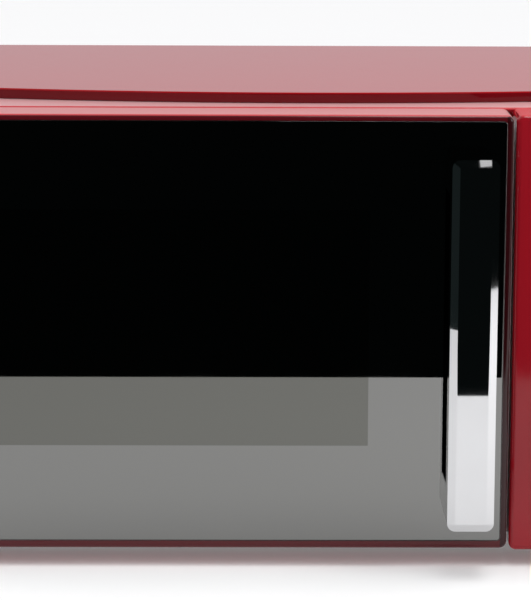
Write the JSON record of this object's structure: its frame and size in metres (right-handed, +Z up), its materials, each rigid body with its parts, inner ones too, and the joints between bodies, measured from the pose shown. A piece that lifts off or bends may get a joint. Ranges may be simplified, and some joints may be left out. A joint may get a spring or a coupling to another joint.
{
  "type": "microwave oven",
  "caption": "Compact microwave oven with a mirrored swing door, a vertical chrome pull handle, a push-button and dial panel, and a glass turntable.",
  "frame": {"origin": "on the surface the oven stands on, under the middle of its outer box", "axes": "+Z up, front faces -Y, +X to the right as seen from the front"},
  "size_m": [0.456, 0.38, 0.2584],
  "materials": {
    "red_enamel": "high-gloss baked enamel on steel sheet",
    "red_plastic": "high-gloss painted moulding",
    "zinc_steel": "zinc-coated steel sheet",
    "cavity_enamel": "semi-gloss light grey enamel",
    "mirror_glass": "dark mirror-coated tempered glass",
    "chrome": "polished chrome plating",
    "black_gloss": "high-gloss black",
    "button_plastic": "satin black",
    "dark_plastic": "fine matt texture",
    "white_plastic": "natural moulded plastic",
    "clear_film": "clear sheet",
    "turntable_glass": "clear pressed glass",
    "mica": "flaky mica sheet",
    "iron": "varnished laminations",
    "copper": "enamelled copper wire",
    "aluminium": "mill finish",
    "ceramic": "fired ceramic",
    "board": "printed board",
    "rubber": "moulded rubber",
    "screw_steel": "plated steel"
  },
  "bodies": {
    "oven": {"air_duct": "dark_plastic", "base_pan": "zinc_steel", "cabinet_screws": "screw_steel", "control_board": "board", "control_fascia": "red_plastic", "control_insert": "black_gloss", "cord_gland": "dark_plastic", "display_lens": "black_gloss", "display_module": "dark_plastic", "encoder": "dark_plastic", "fan_motor": "iron", "fan_shroud": "zinc_steel", "feet": "rubber", "filter_board": "board", "front_plate": "red_enamel", "front_surround": "red_plastic", "hinge_brackets": "zinc_steel", "hv_capacitor": "aluminium", "hv_diode": "ceramic", "interlock_bracket": "white_plastic", "interlock_switches": "dark_plastic", "lamp_socket": "ceramic", "magnetron_anode": "aluminium", "magnetron_yoke": "zinc_steel", "outer_cabinet": "red_enamel", "oven_cavity": "cavity_enamel", "oven_lamp": "turntable_glass", "push_switches": "dark_plastic", "rear_panel": "zinc_steel", "thermal_cutout": "aluminium", "transformer_core": "iron", "transformer_windings": "copper", "turntable_motor": "iron", "waveguide": "zinc_steel", "waveguide_cover": "mica"},
    "door": {"door_frame": "red_plastic", "door_glass": "mirror_glass", "inner_door_panel": "cavity_enamel", "window_screen": "cavity_enamel", "inner_window": "clear_film", "choke_cover": "dark_plastic", "hinge_pins": "zinc_steel", "handle_bar": "chrome", "handle_screws": "screw_steel", "latch_spring": "screw_steel"},
    "latch": {"latch_lever": "white_plastic"},
    "dial": {"control_dial": "chrome"},
    "menu_button": {"menu_button": "button_plastic"},
    "defrost_button": {"defrost_button": "button_plastic"},
    "power_button": {"power_button": "button_plastic"},
    "clock_button": {"clock_button": "button_plastic"},
    "stop_button": {"stop_button": "button_plastic"},
    "start_button": {"start_button": "button_plastic"},
    "turntable_drive": {"drive_coupler": "white_plastic"},
    "turntable_plate": {"glass_turntable": "turntable_glass"},
    "roller_ring": {"roller_ring": "white_plastic"},
    "roller_1": {"roller_1": "white_plastic"},
    "roller_2": {"roller_2": "white_plastic"},
    "roller_3": {"roller_3": "white_plastic"},
    "fan": {"fan_blade": "dark_plastic"}
  },
  "joints": [
    {"name": "door_hinge", "type": "hinge", "parent": "oven", "child": "door", "pos_m": [-0.2163, -0.1315, 0.13], "axis": [0, 0, -1], "range_deg": [0, 95]},
    {"name": "latch_slide", "type": "slide", "parent": "door", "child": "latch", "axis": [0, 0, 1], "range_m": [0, 0.004], "stiffness_N_per_m": 300, "springref_m": -0.003, "deforming": ["latch_spring"]},
    {"name": "dial_turn", "type": "hinge", "parent": "oven", "child": "dial", "pos_m": [0.168, -0.165, 0.088], "axis": [0, 1, 0], "continuous": true},
    {"name": "menu_press", "type": "slide", "parent": "oven", "child": "menu_button", "axis": [0, 1, 0], "range_m": [0, 0.0012], "stiffness_N_per_m": 800, "springref_m": -0.0005},
    {"name": "defrost_press", "type": "slide", "parent": "oven", "child": "defrost_button", "axis": [0, 1, 0], "range_m": [0, 0.0012], "stiffness_N_per_m": 800, "springref_m": -0.0005},
    {"name": "power_press", "type": "slide", "parent": "oven", "child": "power_button", "axis": [0, 1, 0], "range_m": [0, 0.0012], "stiffness_N_per_m": 800, "springref_m": -0.0005},
    {"name": "clock_press", "type": "slide", "parent": "oven", "child": "clock_button", "axis": [0, 1, 0], "range_m": [0, 0.0012], "stiffness_N_per_m": 800, "springref_m": -0.0005},
    {"name": "stop_press", "type": "slide", "parent": "oven", "child": "stop_button", "axis": [0, 1, 0], "range_m": [0, 0.0012], "stiffness_N_per_m": 800, "springref_m": -0.0005},
    {"name": "start_press", "type": "slide", "parent": "oven", "child": "start_button", "axis": [0, 1, 0], "range_m": [0, 0.0012], "stiffness_N_per_m": 800, "springref_m": -0.0005},
    {"name": "turntable_spin", "type": "hinge", "parent": "oven", "child": "turntable_drive", "pos_m": [-0.061, 0.0216, 0.03], "axis": [0, 0, 1], "continuous": true},
    {"name": "plate_lift", "type": "slide", "parent": "turntable_drive", "child": "turntable_plate", "axis": [0, 0, 1], "range_m": [0, 0.03]},
    {"name": "roller_ring_spin", "type": "hinge", "parent": "oven", "child": "roller_ring", "pos_m": [-0.061, 0.0216, 0.037], "axis": [0, 0, 1], "continuous": true},
    {"name": "roller_1_spin", "type": "hinge", "parent": "roller_ring", "child": "roller_1", "pos_m": [-0.061, 0.1116, 0.037], "axis": [0, 1, 0], "continuous": true},
    {"name": "roller_2_spin", "type": "hinge", "parent": "roller_ring", "child": "roller_2", "pos_m": [-0.13894, -0.0234, 0.037], "axis": [-0.866, -0.5, 0], "continuous": true},
    {"name": "roller_3_spin", "type": "hinge", "parent": "roller_ring", "child": "roller_3", "pos_m": [0.01694, -0.0234, 0.037], "axis": [0.866, -0.5, 0], "continuous": true},
    {"name": "fan_spin", "type": "hinge", "parent": "oven", "child": "fan", "pos_m": [0.16, 0.16, 0.19], "axis": [0, 1, 0], "continuous": true}
  ],
  "couplings": [
    {"joint": "roller_ring_spin", "follows": "turntable_spin", "ratio": 0.5},
    {"joint": "roller_1_spin", "follows": "turntable_spin", "ratio": -6.5217},
    {"joint": "roller_2_spin", "follows": "turntable_spin", "ratio": -6.5217},
    {"joint": "roller_3_spin", "follows": "turntable_spin", "ratio": -6.5217}
  ]
}
